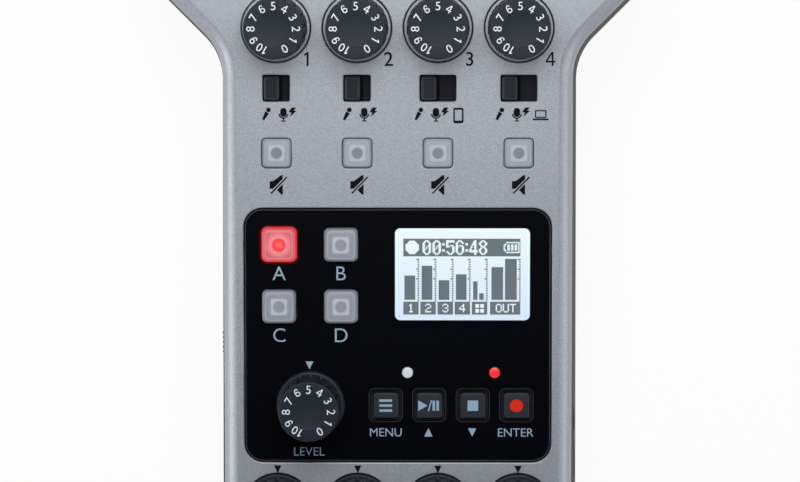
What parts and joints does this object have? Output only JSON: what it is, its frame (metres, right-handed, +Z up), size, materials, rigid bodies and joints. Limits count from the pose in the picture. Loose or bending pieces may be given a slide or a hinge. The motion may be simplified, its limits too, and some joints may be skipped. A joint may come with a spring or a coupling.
{
  "type": "podcast recorder",
  "caption": "Wedge-shaped desktop audio recorder with gain and headphone knobs, mute and pad buttons, a small display and microphone sockets in a flared rear head.",
  "frame": {"origin": "on the table, under the middle of the body", "axes": "+X right, +Y to the rear where the microphone sockets are, +Z up"},
  "size_m": [0.1116, 0.1552, 0.0469],
  "materials": {
    "silver_shell": "satin, fine metallic grain",
    "dark_shell": "fine texture",
    "panel_black": "satin",
    "window": "clear",
    "display": "lit",
    "board": "solder mask",
    "component_metal": "plain",
    "component_black": "plain",
    "lamp": "frosted",
    "socket_black": "satin",
    "contact": "plated",
    "steel": "plated",
    "cell": "printed sleeve",
    "foot_rubber": "matte",
    "knob": "fine texture",
    "shaft": "turned",
    "button_frost": "translucent",
    "pad_red": "translucent, lit",
    "pad_grey": "translucent",
    "key_dark": "satin",
    "lever_dark": "satin"
  },
  "bodies": {
    "chassis": {"top_case": "silver_shell", "bottom_case": "dark_shell", "control_panel": "panel_black", "display_window": "window", "display_module": "display", "control_board": "board", "jack_board": "board", "pot_bodies": "component_metal", "switch_bodies": "component_black", "key_switches": "component_black", "lamps": "lamp", "xlr_jacks": "socket_black", "xlr_contacts": "contact", "audio_jacks": "socket_black", "data_ports": "steel", "card_socket": "steel", "batteries": "cell", "battery_contacts": "steel", "screws": "steel", "feet": "foot_rubber"},
    "gain_1": {"gain_knob_1": "knob", "gain_shaft_1": "shaft"},
    "gain_2": {"gain_knob_2": "knob", "gain_shaft_2": "shaft"},
    "gain_3": {"gain_knob_3": "knob", "gain_shaft_3": "shaft"},
    "gain_4": {"gain_knob_4": "knob", "gain_shaft_4": "shaft"},
    "phones_1": {"phones_knob_1": "knob", "phones_shaft_1": "shaft"},
    "phones_2": {"phones_knob_2": "knob", "phones_shaft_2": "shaft"},
    "phones_3": {"phones_knob_3": "knob", "phones_shaft_3": "shaft"},
    "phones_4": {"phones_knob_4": "knob", "phones_shaft_4": "shaft"},
    "pad_level": {"pad_level_knob": "knob", "pad_level_shaft": "shaft"},
    "select_lever_1": {"select_lever_1": "lever_dark"},
    "select_lever_2": {"select_lever_2": "lever_dark"},
    "select_lever_3": {"select_lever_3": "lever_dark"},
    "select_lever_4": {"select_lever_4": "lever_dark"},
    "mute_button_1": {"mute_button_1": "button_frost"},
    "mute_button_2": {"mute_button_2": "button_frost"},
    "mute_button_3": {"mute_button_3": "button_frost"},
    "mute_button_4": {"mute_button_4": "button_frost"},
    "pad_button_a": {"pad_button_a": "pad_red"},
    "pad_button_b": {"pad_button_b": "pad_grey"},
    "pad_button_c": {"pad_button_c": "pad_grey"},
    "pad_button_d": {"pad_button_d": "pad_grey"},
    "menu_button": {"menu_button": "key_dark"},
    "play_button": {"play_button": "key_dark"},
    "stop_button": {"stop_button": "key_dark"},
    "record_button": {"record_button": "key_dark"},
    "xlr_latch_1": {"xlr_latch_1": "steel"},
    "xlr_latch_2": {"xlr_latch_2": "steel"},
    "xlr_latch_3": {"xlr_latch_3": "steel"},
    "xlr_latch_4": {"xlr_latch_4": "steel"},
    "power_slider": {"power_slider": "lever_dark"},
    "battery_cover": {"battery_cover": "dark_shell"}
  },
  "joints": [
    {"name": "gain_1_turn", "type": "hinge", "parent": "chassis", "child": "gain_1", "pos_m": [-0.02738, 0.04873, 0.03545], "axis": [0, -0.0523, 0.9986], "range_deg": [-150, 150]},
    {"name": "gain_2_turn", "type": "hinge", "parent": "chassis", "child": "gain_2", "pos_m": [-0.00912, 0.04873, 0.03545], "axis": [0, -0.0523, 0.9986], "range_deg": [-150, 150]},
    {"name": "gain_3_turn", "type": "hinge", "parent": "chassis", "child": "gain_3", "pos_m": [0.00912, 0.04873, 0.03545], "axis": [0, -0.0523, 0.9986], "range_deg": [-150, 150]},
    {"name": "gain_4_turn", "type": "hinge", "parent": "chassis", "child": "gain_4", "pos_m": [0.02738, 0.04873, 0.03545], "axis": [0, -0.0523, 0.9986], "range_deg": [-150, 150]},
    {"name": "phones_1_turn", "type": "hinge", "parent": "chassis", "child": "phones_1", "pos_m": [-0.02738, -0.06032, 0.02974], "axis": [0, -0.0523, 0.9986], "range_deg": [-150, 150]},
    {"name": "phones_2_turn", "type": "hinge", "parent": "chassis", "child": "phones_2", "pos_m": [-0.00912, -0.06032, 0.02974], "axis": [0, -0.0523, 0.9986], "range_deg": [-150, 150]},
    {"name": "phones_3_turn", "type": "hinge", "parent": "chassis", "child": "phones_3", "pos_m": [0.00912, -0.06032, 0.02974], "axis": [0, -0.0523, 0.9986], "range_deg": [-150, 150]},
    {"name": "phones_4_turn", "type": "hinge", "parent": "chassis", "child": "phones_4", "pos_m": [0.02738, -0.06032, 0.02974], "axis": [0, -0.0523, 0.9986], "range_deg": [-150, 150]},
    {"name": "pad_level_turn", "type": "hinge", "parent": "chassis", "child": "pad_level", "pos_m": [-0.01985, -0.03685, 0.03097], "axis": [0, -0.0523, 0.9986], "range_deg": [-150, 150]},
    {"name": "select_1_slide", "type": "slide", "parent": "chassis", "child": "select_lever_1", "axis": [1, 0, 0], "range_m": [0, 0.0021]},
    {"name": "select_2_slide", "type": "slide", "parent": "chassis", "child": "select_lever_2", "axis": [1, 0, 0], "range_m": [0, 0.0021]},
    {"name": "select_3_slide", "type": "slide", "parent": "chassis", "child": "select_lever_3", "axis": [1, 0, 0], "range_m": [0, 0.0042]},
    {"name": "select_4_slide", "type": "slide", "parent": "chassis", "child": "select_lever_4", "axis": [1, 0, 0], "range_m": [0, 0.0042]},
    {"name": "mute_1_press", "type": "slide", "parent": "chassis", "child": "mute_button_1", "axis": [0, 0.0523, -0.9986], "range_m": [0, 0.0005], "stiffness_N_per_m": 2000},
    {"name": "mute_2_press", "type": "slide", "parent": "chassis", "child": "mute_button_2", "axis": [0, 0.0523, -0.9986], "range_m": [0, 0.0005], "stiffness_N_per_m": 2000},
    {"name": "mute_3_press", "type": "slide", "parent": "chassis", "child": "mute_button_3", "axis": [0, 0.0523, -0.9986], "range_m": [0, 0.0005], "stiffness_N_per_m": 2000},
    {"name": "mute_4_press", "type": "slide", "parent": "chassis", "child": "mute_button_4", "axis": [0, 0.0523, -0.9986], "range_m": [0, 0.0005], "stiffness_N_per_m": 2000},
    {"name": "pad_a_press", "type": "slide", "parent": "chassis", "child": "pad_button_a", "axis": [0, 0.0523, -0.9986], "range_m": [0, 0.0008], "stiffness_N_per_m": 1500},
    {"name": "pad_b_press", "type": "slide", "parent": "chassis", "child": "pad_button_b", "axis": [0, 0.0523, -0.9986], "range_m": [0, 0.0008], "stiffness_N_per_m": 1500},
    {"name": "pad_c_press", "type": "slide", "parent": "chassis", "child": "pad_button_c", "axis": [0, 0.0523, -0.9986], "range_m": [0, 0.0008], "stiffness_N_per_m": 1500},
    {"name": "pad_d_press", "type": "slide", "parent": "chassis", "child": "pad_button_d", "axis": [0, 0.0523, -0.9986], "range_m": [0, 0.0008], "stiffness_N_per_m": 1500},
    {"name": "menu_press", "type": "slide", "parent": "chassis", "child": "menu_button", "axis": [0, 0.0523, -0.9986], "range_m": [0, 0.0005], "stiffness_N_per_m": 2000},
    {"name": "play_press", "type": "slide", "parent": "chassis", "child": "play_button", "axis": [0, 0.0523, -0.9986], "range_m": [0, 0.0005], "stiffness_N_per_m": 2000},
    {"name": "stop_press", "type": "slide", "parent": "chassis", "child": "stop_button", "axis": [0, 0.0523, -0.9986], "range_m": [0, 0.0005], "stiffness_N_per_m": 2000},
    {"name": "record_press", "type": "slide", "parent": "chassis", "child": "record_button", "axis": [0, 0.0523, -0.9986], "range_m": [0, 0.0005], "stiffness_N_per_m": 2000},
    {"name": "latch_1_press", "type": "slide", "parent": "chassis", "child": "xlr_latch_1", "axis": [0, -1, 0], "range_m": [0, 0.0012], "stiffness_N_per_m": 2500},
    {"name": "latch_2_press", "type": "slide", "parent": "chassis", "child": "xlr_latch_2", "axis": [0, -1, 0], "range_m": [0, 0.0012], "stiffness_N_per_m": 2500},
    {"name": "latch_3_press", "type": "slide", "parent": "chassis", "child": "xlr_latch_3", "axis": [0, -1, 0], "range_m": [0, 0.0012], "stiffness_N_per_m": 2500},
    {"name": "latch_4_press", "type": "slide", "parent": "chassis", "child": "xlr_latch_4", "axis": [0, -1, 0], "range_m": [0, 0.0012], "stiffness_N_per_m": 2500},
    {"name": "power_slide", "type": "slide", "parent": "chassis", "child": "power_slider", "axis": [0, 1, 0], "range_m": [0, 0.003]},
    {"name": "battery_cover_slide", "type": "slide", "parent": "chassis", "child": "battery_cover", "axis": [0, -1, 0], "range_m": [0, 0.005]}
  ]
}
